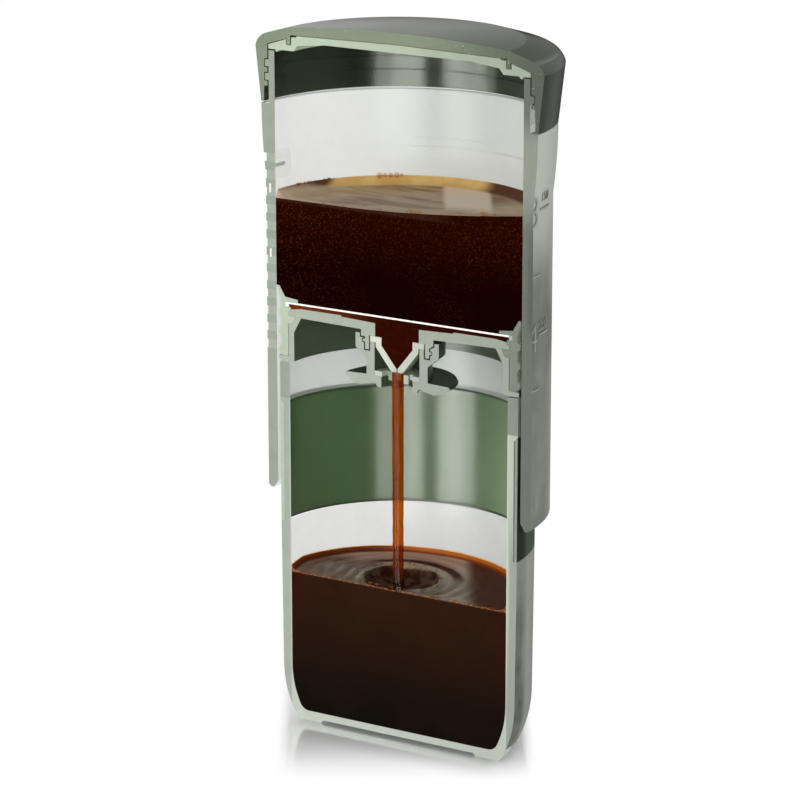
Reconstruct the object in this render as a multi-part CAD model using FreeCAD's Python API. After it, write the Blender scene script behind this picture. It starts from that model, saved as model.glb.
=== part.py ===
import FreeCAD, Part
import math
import os

# Portable coffee press, shown cut in half through its axis as a display model.
# Millimetres. Every piece is turned about one upright axis, then the front half is taken away
# and the kept half is set so that the middle of its footprint on the table is the origin.
# r is a distance from the axis and z a height above the table.

# Display cut
KEEP_WHOLE = False          # True leaves every piece a full turn

# Brew tube
BORE_R = 31.0               # bore of the brew tube
TUBE_WALL = 2.5
NECK_WALL = 1.5             # neck under the lid
NECK_H = 11.65
SHOULDER_OUT = 0.95         # how far the flared top stands out past the tube
FLARE_H = 15.5
TABLE_GAP = 2.4             # tube above the table when fully pressed
PRESS_TRAVEL = 51.5
END_BEVEL_R = 1.1           # lead-in bevel at the lower end of the bore
END_BEVEL_H = 1.75
END_CHAMFER = 0.65
GRIP_GROOVES = 12
GRIP_PITCH = 3.82
GRIP_DEPTH = 0.25
GRIP_BELOW_SHOULDER = 11.1
GRIP_FROM_DEG = 60.0
GRIP_TO_DEG = 300.0

# Fits
SLIDE_GAP = 0.75            # cup inside the bore
FLANGE_GAP = 0.6            # piston's foot flange inside the bore
LIP_GAP = 0.3               # wiping lip to the bore
BULGE_GAP = 0.5             # seal ribs to the bore
STOP_GAP = 0.5              # liner above the wiping lip when fully pressed
SEAT_GAP = 0.3              # a loose piece above its seat
PLUG_GAP = 0.35             # liner's plug lip inside the bore
SNUG = 0.05                 # pieces fixed to each other
TURN_GAP = 0.12             # lid over the liner that it turns on
THREAD_GAP = 0.2

# Cup
CUP_H = 83.4
CUP_WALL = 2.4
CUP_DRAFT = 0.3             # the outside narrows this much towards the foot
FLOOR_T = 1.6
FOOT_RECESS = 0.65
FOOT_RING_W = 5.7
FOOT_ROUND_R = 24.0         # large curve from the wall down to the foot
FOOT_ROUND_H = 13.0
FOOT_BEVEL = 0.8
FLOOR_ROUND = 2.6
BAND_DEPTH = 1.0
BAND_H = 27.1
BAND_BELOW_RIM = 9.65

# Piston
FLANGE_T = 1.05
SKIRT_INSET = 3.1           # skirt's outside to the bore
SKIRT_WALL = 1.4
SKIRT_H = 7.4               # foot flange up to the seal's groove
BEAD_GROOVE_H = 1.8
BEAD_GROOVE_TOP = 1.95      # depth of the groove under the plate's edge
BEAD_GROOVE_FOOT = 0.95
EDGE_T = 0.95               # plate's edge above the groove
PLATE_RISE = 0.95           # plate's top above its edge
PLATE_STEP_IN = 0.6
PLATE_SLOPE_H = 0.4
PLATE_SLOPE_W = 2.7
PLATE_T = 2.4
PLATE_CONE = 0.3            # the plate falls this much from its rim to the hub
FUNNEL_R = 14.2
FUNNEL_STEP = 0.3
GUSSET_H = 3.4              # thickening where the skirt meets the plate
GUSSET_W = 1.85
HUB_LIP_T = 2.95            # hub's ceiling over the valve
HUB_STEP = 1.05             # collar out past the threaded tongue
HUB_COLLAR_H = 1.45
TONGUE_W = 1.0
TONGUE_H = 3.15

# Piston seal
SEAL_WALL_GAP = 0.15
SEAL_WALL = 1.75
SEAL_BULGES = 3
BULGE_PITCH = 4.25
BULGE_HALF_H = 1.05         # half height of a rib at its foot
BULGE_CREST_HALF_H = 0.45
BULGE_LOWEST = 1.3
SEAL_FLANGE_T = 1.05
SEAL_FLANGE_W = 3.3         # reach of the flange in over the filter
SEAL_FLANGE_FALL = 0.35
SEAL_LIP_H = 2.4
SEAL_LIP_W = 1.9
SEAL_LIP_EDGE = 0.5
INNER_LIP_T = 1.0

# Filter
SCREEN_T = 0.4
RIM_T = 1.05
RIM_W = 0.85

# Valve
VALVE_R = 5.4
VALVE_FLANGE_W = 1.4
VALVE_FLANGE_T = 1.3
VALVE_WALL = 1.45
VALVE_NECK_H = 1.0
BEAK_H = 5.05
BEAK_TIP_HALF_W = 1.4
BEAK_TIP_HALF_L = 3.1
SLIT_HALF_W = 0.1
SLIT_DEPTH = 0.75
HUB_HOLE_OVER = 0.15        # hub's hole wider than the valve, in radius

# Valve holder
HOLDER_COLLAR_WALL = 1.1
HOLDER_COLLAR_DROP = 0.8    # collar's top below the plate's underside
HOLDER_COLLAR_H = 3.2
HOLDER_TAPER_H = 2.3
HOLDER_WALL = 2.05
WAIST_H = 3.55
DISC_REACH = 5.65           # drip disc out past the waist
DISC_EDGE = 0.75
DISC_BEND_IN = 1.7
DISC_BEND_H = 0.6
DISC_BELLY_IN = 4.2
DISC_T = 2.55
DISC_RISE = 0.85            # hollow under the disc, round the spout
SPOUT_R = 4.0
SPOUT_WALL = 1.0
SPOUT_H = 2.4

# Outlet grille
GRILLE_T = 1.15
GRILLE_RING_W = 1.85
GRILLE_ARC_R = 1.7
GRILLE_ARC_W = 1.2
GRILLE_ARC_DROP = 0.75
GRILLE_ARC_DEG = 80.0
GRILLE_SPOKE_W = 1.0
GRILLE_SPOKE_IN_DEG = 12.0  # spoke's middle in from its arc's end
GRILLE_ARMS = 3

# Lid and liner
LID_WALL = 0.75             # skirt at its mouth
LID_MOUTH_OVER = 0.1        # plain mouth wider than the thread's groove, in radius
LID_FLARE = 1.35            # the skirt widens this much up to its shoulder
LID_SKIRT_H = 12.25
LID_DOME_IN = 8.35          # dome's edge in from the widest place
LID_DOME_SAG = 1.25
LID_SLOPE_IN = 2.65         # sloping ring's end in from the widest place
LID_SLOPE_H = 2.8           # sloping ring's end above the widest place
LID_CORNER_SAG = 0.5
LID_DOME_H = 5.75           # widest place up to the crown
LID_TOP_T = 2.45
LID_UNDER_FALL = 0.45       # underside from its middle to the rib
RIB_IN = 4.15               # lid's rib in from the bore
RIB_W = 0.9
RIB_H = 1.3                 # rib below the lid's slope
LINER_T = 1.75
LINER_EDGE_T = 1.0
LINER_RIM_W = 4.6
LINER_LIP_H = 0.5
LINER_LIP_W = 0.35
LINER_LIP_FOOT_W = 0.85
LINER_STEP_W = 1.0
LINER_STEP_H = 1.25
LINER_BOWL_W = 8.0
SLOPE_H = 1.55              # liner's top falls this much from the rib to its edge
NOTCH_W = 1.3
NOTCH_H = 0.35

# Threads. A ridge is 'high' along the axis and 'deep' across it.
LID_PITCH = 3.0
LID_RIDGE_H = 1.45
LID_RIDGE_D = 0.95
LID_RIDGE_FROM_DEG = -200.0
LID_RIDGE_TO_DEG = 200.0
LID_RIDGE_BELOW_TOP = 4.35  # ridge's middle below the neck's top, on the +X side
LID_THREAD_H = 9.5          # threaded stretch of the lid, down from its liner
HUB_PITCH = 1.5
HUB_RIDGE_H = 0.55
HUB_RIDGE_D = 0.6
HUB_RIDGE_FROM_DEG = -20.0
HUB_RIDGE_TO_DEG = 380.0
HUB_RIDGE_UP = 1.2          # ridge's middle above the tongue's end, on the +X side
RUN_OUT_DEG = 8.0           # a thread groove runs on this far past its ridge
ROOT = 0.3                  # a ridge's root sunk into the wall that carries it
FLANK = 0.08                # a ridge is this much narrower at its crest, each side

# Radii that follow from the bore
TUBE_R = BORE_R + TUBE_WALL
NECK_R = BORE_R + NECK_WALL
CUP_R = BORE_R - SLIDE_GAP
FLANGE_R = BORE_R - FLANGE_GAP
SKIRT_R = BORE_R - SKIRT_INSET
PLATE_R = SKIRT_R - PLATE_STEP_IN
SEAL_IN_R = SKIRT_R + SEAL_WALL_GAP
SEAL_OUT_R = SEAL_IN_R + SEAL_WALL
RIM_R = SKIRT_R + RIM_W
RIB_R = BORE_R - RIB_IN
LID_IN_R = NECK_R + SEAT_GAP
LID_ROOT_R = NECK_R + LID_RIDGE_D + THREAD_GAP
LID_MOUTH_IN_R = LID_ROOT_R + LID_MOUTH_OVER
LID_MOUTH_R = LID_MOUTH_IN_R + LID_WALL
LID_R = LID_MOUTH_R + LID_FLARE

# Radii that follow from the valve
VALVE_FLANGE_R = VALVE_R + VALVE_FLANGE_W
HUB_HOLE_R = VALVE_R + HUB_HOLE_OVER
HOLDER_BORE_R = VALVE_R + SEAT_GAP
HOLDER_WAIST_R = HOLDER_BORE_R + HOLDER_WALL
DISC_R = HOLDER_WAIST_R + DISC_REACH
TONGUE_IN_R = VALVE_FLANGE_R + SEAT_GAP
TONGUE_OUT_R = TONGUE_IN_R + TONGUE_W
HUB_OUT_R = TONGUE_OUT_R + HUB_STEP

# Heights, from the table up
FLOOR_Z = FOOT_RECESS + FLOOR_T
BAND_TOP_Z = CUP_H - BAND_BELOW_RIM
BAND_Z = BAND_TOP_Z - BAND_H
FLANGE_Z = CUP_H + SEAT_GAP
SKIRT_Z = FLANGE_Z + FLANGE_T
BEAD_Z = SKIRT_Z + SKIRT_H
EDGE_Z = BEAD_Z + BEAD_GROOVE_H
EDGE_TOP_Z = EDGE_Z + EDGE_T
PLATE_Z = EDGE_TOP_Z + PLATE_RISE
UNDER_Z = PLATE_Z - PLATE_T
INNER_LIP_Z = EDGE_TOP_Z + SNUG
INNER_LIP_TOP_Z = INNER_LIP_Z + INNER_LIP_T
RIM_Z = INNER_LIP_TOP_Z + SNUG
RIM_TOP_Z = RIM_Z + RIM_T
SEAL_FLANGE_Z = RIM_TOP_Z + SNUG
SEAL_FLANGE_TOP_Z = SEAL_FLANGE_Z + SEAL_FLANGE_T
SEAL_TIP_Z = SEAL_FLANGE_TOP_Z + SEAL_LIP_H
HUB_TOP_Z = PLATE_Z - FUNNEL_STEP - PLATE_CONE
VALVE_SEAT_Z = HUB_TOP_Z - HUB_LIP_T
VALVE_TOP_Z = VALVE_SEAT_Z - SNUG
VALVE_FLANGE_Z = VALVE_TOP_Z - VALVE_FLANGE_T
BEAK_Z = VALVE_FLANGE_Z - VALVE_NECK_H
BEAK_TIP_Z = BEAK_Z - BEAK_H
TONGUE_Z = VALVE_SEAT_Z - TONGUE_H
TONGUE_TOP_Z = UNDER_Z - HUB_COLLAR_H
COLLAR_TOP_Z = UNDER_Z - HOLDER_COLLAR_DROP
COLLAR_Z = COLLAR_TOP_Z - HOLDER_COLLAR_H
WAIST_TOP_Z = COLLAR_Z - HOLDER_TAPER_H
DISC_TOP_Z = WAIST_TOP_Z - WAIST_H
DISC_Z = DISC_TOP_Z - DISC_T
GRILLE_TOP_Z = BEAK_TIP_Z - SEAT_GAP
GRILLE_Z = GRILLE_TOP_Z - GRILLE_T
LEDGE_Z = GRILLE_Z - SNUG
SPOUT_Z = LEDGE_Z - SPOUT_H
TUBE_Z = TABLE_GAP + PRESS_TRAVEL
LINER_LIP_Z = SEAL_TIP_Z + STOP_GAP + PRESS_TRAVEL
LINER_Z = LINER_LIP_Z + LINER_LIP_H
TUBE_TOP_Z = LINER_Z - SEAT_GAP
SHOULDER_Z = TUBE_TOP_Z - NECK_H
LID_Z = SHOULDER_Z + SEAT_GAP
LINER_EDGE_Z = LINER_Z + LINER_EDGE_T
LINER_SLOPE_Z = LINER_EDGE_Z + SLOPE_H
THREAD_FOOT_Z = LINER_EDGE_Z - LID_THREAD_H
LID_WIDEST_Z = LID_Z + LID_SKIRT_H
LID_CROWN_Z = LID_WIDEST_Z + LID_DOME_H
LID_UNDER_Z = LID_CROWN_Z - LID_TOP_T
LINER_TOP_Z = LID_UNDER_Z - TURN_GAP
RIB_Z = LINER_SLOPE_Z + TURN_GAP - RIB_H

UP = FreeCAD.Vector(0, 0, 1)
ORIGIN = FreeCAD.Vector(0, 0, 0)


def at(r, z):
    return FreeCAD.Vector(r, 0, z)


def outline(path):
    """Closed outline beside the axis. A step is a corner (r, z), or an arc to its last
    point through its first (r_mid, z_mid, r_end, z_end)."""
    edges = []
    here = at(*path[0][-2:])
    for step in path[1:] + path[:1]:
        end = at(*step[-2:])
        if len(step) == 4:
            edges.append(Part.Arc(here, at(*step[:2]), end).toShape())
        elif (end - here).Length > 1e-6:
            edges.append(Part.LineSegment(here, end).toShape())
        here = end
    return Part.Wire(edges)


def turned(path):
    return Part.Face(outline(path)).revolve(ORIGIN, UP, 360)


def bowed(start, end, sag):
    """Arc step to the end point that bows to the left of the way from the start."""
    along_r = end[0] - start[0]
    along_z = end[1] - start[1]
    length = math.hypot(along_r, along_z)
    middle_r = (start[0] + end[0]) / 2 - sag * along_z / length
    middle_z = (start[1] + end[1]) / 2 + sag * along_r / length
    return (middle_r, middle_z, end[0], end[1])


def sector(r_in, r_out, z_low, z_high, from_deg, to_deg):
    """Part of a flat ring between two angles."""
    height = z_high - z_low
    outer = Part.makeCylinder(r_out, height, at(0, z_low), UP, to_deg - from_deg)
    outer.rotate(ORIGIN, UP, from_deg)
    return outer.cut(Part.makeCylinder(r_in, height, at(0, z_low), UP))


def wedge(half_top, half_tip, half_length, z_top, z_tip):
    """Block along Y, wide at the top and narrow at the tip."""
    corners = [FreeCAD.Vector(x, -half_length, z)
               for x, z in ((-half_top, z_top), (half_top, z_top), (half_tip, z_tip), (-half_tip, z_tip))]
    face = Part.Face(Part.makePolygon(corners + corners[:1]))
    return face.extrude(FreeCAD.Vector(0, 2 * half_length, 0))


def thread_bar(r_low, r_high, half_low, half_high, pitch, from_deg, to_deg, z_at_zero):
    """Right-hand thread bar of trapezium section between two radii, with its middle at
    z_at_zero where it crosses the +X side."""
    turns = (to_deg - from_deg) / 360.0
    helix = Part.makeHelix(pitch, pitch * turns, r_low)
    profile = outline([(r_low, -half_low), (r_high, -half_high),
                       (r_high, half_high), (r_low, half_low)])
    bar = Part.Wire(helix.Edges).makePipeShell([profile], True, True)
    bar.rotate(ORIGIN, UP, from_deg)
    bar.translate(UP * (z_at_zero + pitch * from_deg / 360.0))
    return bar


def cup():
    """Tumbler with a foot ring, a large curve above it and a shallow recess for the band."""
    foot_r = CUP_R - CUP_DRAFT
    curve_r = foot_r - FOOT_ROUND_R
    wall_in = CUP_R - CUP_WALL - CUP_DRAFT / 2
    in_curve = wall_in - curve_r

    def reach(radius, z):
        return curve_r + math.sqrt(radius ** 2 - (FOOT_ROUND_H - z) ** 2)

    # Inner round: tangent to the floor and to the large curve's inside
    round_z = FLOOR_Z + FLOOR_ROUND
    round_r = reach(in_curve - FLOOR_ROUND, round_z)
    lean = math.atan2(FOOT_ROUND_H - round_z, round_r - curve_r)
    half_way = (lean + math.pi / 2) / 2
    tangent = (curve_r + in_curve * math.cos(lean), FOOT_ROUND_H - in_curve * math.sin(lean))
    low_r = reach(FOOT_ROUND_R, FOOT_BEVEL)
    ring_in_r = low_r - FOOT_BEVEL - FOOT_RING_W
    mid_z = (FOOT_ROUND_H + FOOT_BEVEL) / 2
    in_mid_z = (FOOT_ROUND_H + tangent[1]) / 2
    return turned([
        (0, FOOT_RECESS),
        (ring_in_r - FOOT_RECESS, FOOT_RECESS),
        (ring_in_r, 0),
        (low_r - FOOT_BEVEL, 0),
        (low_r, FOOT_BEVEL),
        (reach(FOOT_ROUND_R, mid_z), mid_z, foot_r, FOOT_ROUND_H),
        (CUP_R, BAND_Z),
        (CUP_R - BAND_DEPTH, BAND_Z),
        (CUP_R - BAND_DEPTH, BAND_TOP_Z),
        (CUP_R, BAND_TOP_Z + BAND_DEPTH),
        (CUP_R, CUP_H),
        (wall_in, CUP_H),
        (wall_in, FOOT_ROUND_H),
        (reach(in_curve, in_mid_z), in_mid_z) + tangent,
        (round_r + FLOOR_ROUND * math.cos(half_way), round_z - FLOOR_ROUND * math.sin(half_way),
         round_r, FLOOR_Z),
        (0, FLOOR_Z),
    ])


def cup_band():
    """Silicone band stretched into the cup's recess, flush with the wall above and below."""
    foot = BAND_Z + SNUG
    top = BAND_TOP_Z - SNUG
    inner = CUP_R - BAND_DEPTH + SNUG
    return turned([(inner, foot), (CUP_R, foot), (CUP_R, top + BAND_DEPTH - SNUG), (inner, top)])


def piston():
    """Plate that carries the filter, with a skirt standing on the cup and a threaded hub."""
    skirt_in = SKIRT_R - SKIRT_WALL
    rim_under_z = UNDER_Z + PLATE_CONE
    body = turned([
        (skirt_in, FLANGE_Z),
        (FLANGE_R, FLANGE_Z),
        (FLANGE_R, SKIRT_Z),
        (SKIRT_R, SKIRT_Z),
        (SKIRT_R, BEAD_Z),
        (SKIRT_R - BEAD_GROOVE_FOOT, BEAD_Z),
        (SKIRT_R - BEAD_GROOVE_TOP, EDGE_Z),
        (SKIRT_R, EDGE_Z),
        (SKIRT_R, EDGE_TOP_Z),
        (PLATE_R, EDGE_TOP_Z),
        (PLATE_R, PLATE_Z - PLATE_SLOPE_H),
        (PLATE_R - PLATE_SLOPE_W, PLATE_Z),
        (FUNNEL_R, PLATE_Z),
        (FUNNEL_R, PLATE_Z - FUNNEL_STEP),
        (HUB_HOLE_R, HUB_TOP_Z),
        (HUB_HOLE_R, VALVE_SEAT_Z),
        (TONGUE_IN_R, VALVE_SEAT_Z),
        (TONGUE_IN_R, TONGUE_Z),
        (TONGUE_OUT_R, TONGUE_Z),
        (TONGUE_OUT_R, TONGUE_TOP_Z),
        (HUB_OUT_R, TONGUE_TOP_Z),
        (HUB_OUT_R, UNDER_Z),
        (skirt_in - GUSSET_W, rim_under_z),
        (skirt_in, rim_under_z - GUSSET_H),
    ])
    ridge = thread_bar(TONGUE_OUT_R - ROOT, TONGUE_OUT_R + HUB_RIDGE_D,
                       HUB_RIDGE_H / 2 + FLANK, HUB_RIDGE_H / 2,
                       HUB_PITCH, HUB_RIDGE_FROM_DEG, HUB_RIDGE_TO_DEG, TONGUE_Z + HUB_RIDGE_UP)
    return body.fuse(ridge)


def piston_seal():
    """Soft sleeve round the skirt: wiping lip, flange over the filter, bead in the groove."""
    foot_z = SKIRT_Z + SNUG
    lip_r = BORE_R - LIP_GAP
    flange_in = RIM_R - SEAL_FLANGE_W
    path = [(SEAL_IN_R, foot_z), (SEAL_OUT_R, foot_z)]
    for i in range(SEAL_BULGES):
        middle = foot_z + BULGE_LOWEST + i * BULGE_PITCH
        path += [
            (SEAL_OUT_R, middle - BULGE_HALF_H),
            (BORE_R - BULGE_GAP, middle - BULGE_CREST_HALF_H),
            (BORE_R - BULGE_GAP, middle + BULGE_CREST_HALF_H),
            (SEAL_OUT_R, middle + BULGE_HALF_H),
        ]
    path += [
        (SEAL_OUT_R, SEAL_FLANGE_Z),
        (lip_r, SEAL_TIP_Z - SEAL_LIP_EDGE),
        (lip_r - SEAL_LIP_EDGE, SEAL_TIP_Z),
        (lip_r - SEAL_LIP_W, SEAL_FLANGE_TOP_Z),
        (flange_in, SEAL_FLANGE_TOP_Z - SEAL_FLANGE_FALL),
        (flange_in, SEAL_FLANGE_Z),
        (RIM_R, SEAL_FLANGE_Z),
        (RIM_R, INNER_LIP_TOP_Z),
        (PLATE_R + SNUG, INNER_LIP_TOP_Z),
        (PLATE_R + SNUG, INNER_LIP_Z),
        (SKIRT_R + SNUG, INNER_LIP_Z),
        (SKIRT_R + SNUG, EDGE_Z - SNUG),
        (SKIRT_R - BEAD_GROOVE_TOP + 2 * SNUG, EDGE_Z - SNUG),
        (SKIRT_R - BEAD_GROOVE_FOOT + SNUG, BEAD_Z + SNUG),
        (SEAL_IN_R, BEAD_Z + SNUG),
    ]
    return turned(path)


def filter_rim():
    """Moulded ring that stiffens the screen's edge, held under the seal's flange."""
    outer = RIM_R - SNUG
    inner = outer - RIM_W
    return turned([(inner, RIM_Z), (outer, RIM_Z), (outer, RIM_TOP_Z), (inner, RIM_TOP_Z)])


def filter_screen():
    """Thin round screen across the whole bore of the rim."""
    outer = RIM_R - RIM_W - 2 * SNUG
    return Part.makeCylinder(outer, SCREEN_T, at(0, RIM_TOP_Z - SCREEN_T), UP)


def valve():
    """One-way duckbill: a flanged neck whose two flat walls close on a slit."""
    mouth_r = VALVE_R - VALVE_WALL
    neck = turned([(0, BEAK_Z), (VALVE_R, BEAK_Z), (VALVE_R, VALVE_FLANGE_Z),
                   (VALVE_FLANGE_R, VALVE_FLANGE_Z), (VALVE_FLANGE_R, VALVE_TOP_Z),
                   (0, VALVE_TOP_Z)])
    beak = Part.makeCone(BEAK_TIP_HALF_L, VALVE_R, BEAK_H, at(0, BEAK_TIP_Z), UP)
    beak = beak.common(wedge(VALVE_R, BEAK_TIP_HALF_W, VALVE_R, BEAK_Z, BEAK_TIP_Z))
    hollow_z = BEAK_Z + VALVE_WALL / 3
    slit_half_l = BEAK_TIP_HALF_L - VALVE_WALL
    throat = Part.makeCylinder(mouth_r, VALVE_TOP_Z - hollow_z, at(0, hollow_z), UP)
    cone = Part.makeCone(slit_half_l, mouth_r, hollow_z - BEAK_TIP_Z, at(0, BEAK_TIP_Z), UP)
    hollow = cone.common(wedge(mouth_r, SLIT_HALF_W, mouth_r, hollow_z, BEAK_TIP_Z + SLIT_DEPTH))
    slit = Part.makeBox(2 * SLIT_HALF_W, 2 * slit_half_l, SLIT_DEPTH,
                        FreeCAD.Vector(-SLIT_HALF_W, -slit_half_l, BEAK_TIP_Z))
    return neck.fuse(beak).cut(throat.fuse(hollow).fuse(slit))


def valve_holder():
    """Knob screwed up round the hub: it clamps the valve and ends in a drip disc and spout."""
    clamp_z = VALVE_FLANGE_Z - SNUG
    collar_in = HUB_OUT_R + SEAT_GAP
    collar_out = collar_in + HOLDER_COLLAR_WALL
    thread_r = TONGUE_OUT_R + SEAT_GAP
    thread_top = TONGUE_TOP_Z - SEAT_GAP
    slot_z = TONGUE_Z - SEAT_GAP
    body = turned([
        (HOLDER_BORE_R, clamp_z),
        (TONGUE_IN_R - SEAT_GAP, clamp_z),
        (TONGUE_IN_R - SEAT_GAP, slot_z),
        (thread_r, slot_z),
        (thread_r, thread_top),
        (collar_in, thread_top),
        (collar_in, COLLAR_TOP_Z),
        (collar_out, COLLAR_TOP_Z),
        (collar_out, COLLAR_Z),
        (HOLDER_WAIST_R, WAIST_TOP_Z),
        (HOLDER_WAIST_R, DISC_TOP_Z),
        (DISC_R - DISC_EDGE / 2, DISC_TOP_Z - DISC_EDGE / 4),
        (DISC_R, DISC_TOP_Z - DISC_EDGE),
        (DISC_R - DISC_BEND_IN, DISC_Z + DISC_BEND_H),
        (DISC_R - DISC_BELLY_IN, DISC_Z),
        (SPOUT_R + 3 * SPOUT_WALL / 2, DISC_Z + DISC_RISE),
        (SPOUT_R + SPOUT_WALL, SPOUT_Z),
        (SPOUT_R, SPOUT_Z),
        (SPOUT_R, LEDGE_Z),
        (HOLDER_BORE_R, LEDGE_Z),
    ])
    ridge_z = TONGUE_Z + HUB_RIDGE_UP
    groove_half = HUB_RIDGE_H / 2 + THREAD_GAP
    way_out_deg = 360.0 * (thread_top + groove_half - ridge_z) / HUB_PITCH
    groove = thread_bar(thread_r - ROOT, TONGUE_OUT_R + HUB_RIDGE_D + THREAD_GAP,
                        groove_half + FLANK, groove_half,
                        HUB_PITCH, HUB_RIDGE_FROM_DEG - RUN_OUT_DEG,
                        max(way_out_deg, HUB_RIDGE_TO_DEG) + RUN_OUT_DEG, ridge_z)
    return body.cut(groove)


def outlet_grille():
    """Flow straightener on the holder's ledge: a ring with three hooked arms."""
    ring_out = HOLDER_BORE_R - SNUG
    ring_in = ring_out - GRILLE_RING_W
    half_arc = GRILLE_ARC_DEG / 2
    grille = sector(ring_in, ring_out, GRILLE_Z, GRILLE_TOP_Z, 0, 360)
    for i in range(GRILLE_ARMS):
        middle = i * 360.0 / GRILLE_ARMS
        arc = sector(GRILLE_ARC_R, GRILLE_ARC_R + GRILLE_ARC_W, GRILLE_Z - GRILLE_ARC_DROP, GRILLE_TOP_Z,
                     middle - half_arc, middle + half_arc)
        spoke = Part.makeBox(ring_in - GRILLE_ARC_R, GRILLE_SPOKE_W, GRILLE_T,
                             FreeCAD.Vector(GRILLE_ARC_R + ROOT, -GRILLE_SPOKE_W / 2, GRILLE_Z))
        spoke.rotate(ORIGIN, UP, middle + half_arc - GRILLE_SPOKE_IN_DEG)
        grille = grille.fuse(arc).fuse(spoke)
    return grille.removeSplitter()


def brew_tube():
    """Straight tube open at both ends, flared under the lid, threaded neck, grooved grip."""
    flare = bowed((TUBE_R, SHOULDER_Z - FLARE_H), (TUBE_R + SHOULDER_OUT, SHOULDER_Z), -SHOULDER_OUT / 4)
    body = turned([
        (BORE_R, TUBE_Z + END_BEVEL_H),
        (BORE_R + END_BEVEL_R, TUBE_Z),
        (TUBE_R - END_CHAMFER, TUBE_Z),
        (TUBE_R, TUBE_Z + END_CHAMFER),
        (TUBE_R, SHOULDER_Z - FLARE_H),
        flare,
        (NECK_R, SHOULDER_Z),
        (NECK_R, TUBE_TOP_Z),
        (BORE_R, TUBE_TOP_Z),
    ])
    grip_top = SHOULDER_Z - GRIP_BELOW_SHOULDER
    for i in range(GRIP_GROOVES):
        top = grip_top - i * GRIP_PITCH
        body = body.cut(sector(TUBE_R - GRIP_DEPTH, TUBE_R + SHOULDER_OUT, top - GRIP_PITCH / 2, top,
                               GRIP_FROM_DEG, GRIP_TO_DEG))
    ridge = thread_bar(NECK_R - ROOT, NECK_R + LID_RIDGE_D,
                       LID_RIDGE_H / 2 + FLANK, LID_RIDGE_H / 2,
                       LID_PITCH, LID_RIDGE_FROM_DEG, LID_RIDGE_TO_DEG,
                       TUBE_TOP_Z - LID_RIDGE_BELOW_TOP)
    return body.fuse(ridge)


def lid():
    """Screw cap with a domed crown, a rib that holds its liner and a threaded skirt."""
    dome_r = LID_R - LID_DOME_IN
    ball_r = (dome_r ** 2 + LID_DOME_SAG ** 2) / (2 * LID_DOME_SAG)
    dome_mid_z = LID_CROWN_Z - ball_r + math.sqrt(ball_r ** 2 - dome_r ** 2 / 4)
    slope_end = (LID_R - LID_SLOPE_IN, LID_WIDEST_Z + LID_SLOPE_H)
    body = turned([
        (0, LID_UNDER_Z),
        (0, LID_CROWN_Z),
        (dome_r / 2, dome_mid_z, dome_r, LID_CROWN_Z - LID_DOME_SAG),
        slope_end,
        bowed(slope_end, (LID_R, LID_WIDEST_Z), LID_CORNER_SAG),
        (LID_MOUTH_R, LID_Z),
        (LID_MOUTH_IN_R, LID_Z),
        (LID_MOUTH_IN_R, THREAD_FOOT_Z),
        (LID_IN_R, THREAD_FOOT_Z),
        (LID_IN_R, LINER_EDGE_Z + TURN_GAP),
        (RIB_R + RIB_W, LINER_SLOPE_Z + TURN_GAP),
        (RIB_R + RIB_W, RIB_Z),
        (RIB_R, RIB_Z),
        (RIB_R, LID_UNDER_Z - LID_UNDER_FALL),
    ])
    ridge_z = TUBE_TOP_Z - LID_RIDGE_BELOW_TOP
    groove_half = LID_RIDGE_H / 2 + THREAD_GAP
    way_out_deg = 360.0 * (ridge_z - THREAD_FOOT_Z + groove_half) / LID_PITCH
    groove = thread_bar(LID_IN_R - ROOT, LID_ROOT_R, groove_half + FLANK, groove_half,
                        LID_PITCH, -way_out_deg, LID_RIDGE_TO_DEG + RUN_OUT_DEG, ridge_z)
    return body.cut(groove)


def lid_liner():
    """Soft disc under the lid: it seals on the tube's edge and plugs the bore with a lip."""
    plug_r = BORE_R - PLUG_GAP
    rim_in = plug_r - LINER_RIM_W
    gap = 2 * TURN_GAP
    disc_r = RIB_R - NOTCH_W - gap
    disc_z = LINER_TOP_Z - LID_UNDER_FALL * disc_r / RIB_R
    slope_r = RIB_R + RIB_W + gap
    steepness = SLOPE_H / (NECK_R - RIB_R - RIB_W)
    return turned([
        (0, LINER_TOP_Z - LINER_T),
        (0, LINER_TOP_Z),
        (disc_r, disc_z),
        (disc_r, disc_z - NOTCH_H),
        (RIB_R - gap, disc_z - NOTCH_H),
        (RIB_R - gap, RIB_Z - TURN_GAP),
        (slope_r, RIB_Z - TURN_GAP),
        (slope_r, LINER_EDGE_Z + steepness * (NECK_R - slope_r)),
        (NECK_R, LINER_EDGE_Z),
        (NECK_R, LINER_Z),
        (plug_r, LINER_Z),
        (plug_r, LINER_LIP_Z),
        (plug_r - LINER_LIP_W, LINER_LIP_Z),
        (plug_r - LINER_LIP_FOOT_W, LINER_Z),
        (rim_in, LINER_Z),
        (rim_in - LINER_STEP_W, LINER_Z + LINER_STEP_H),
        (rim_in - LINER_BOWL_W, LINER_TOP_Z - LINER_T),
    ])


def displayed(shape):
    """Take away the front half and set the footprint's middle over the origin."""
    if KEEP_WHOLE:
        return shape
    reach = 2 * LID_R
    tall = 2 * LID_CROWN_Z
    back_half = Part.makeBox(2 * reach, reach, 2 * tall, FreeCAD.Vector(-reach, 0, -tall))
    half = shape.common(back_half)
    half.translate(FreeCAD.Vector(0, -LID_R / 2, 0))
    return half


PIECES = {
    "cup": cup,
    "cup_band": cup_band,
    "piston": piston,
    "piston_seal": piston_seal,
    "filter_rim": filter_rim,
    "filter_screen": filter_screen,
    "valve": valve,
    "valve_holder": valve_holder,
    "outlet_grille": outlet_grille,
    "brew_tube": brew_tube,
    "lid": lid,
    "lid_liner": lid_liner,
}

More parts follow.
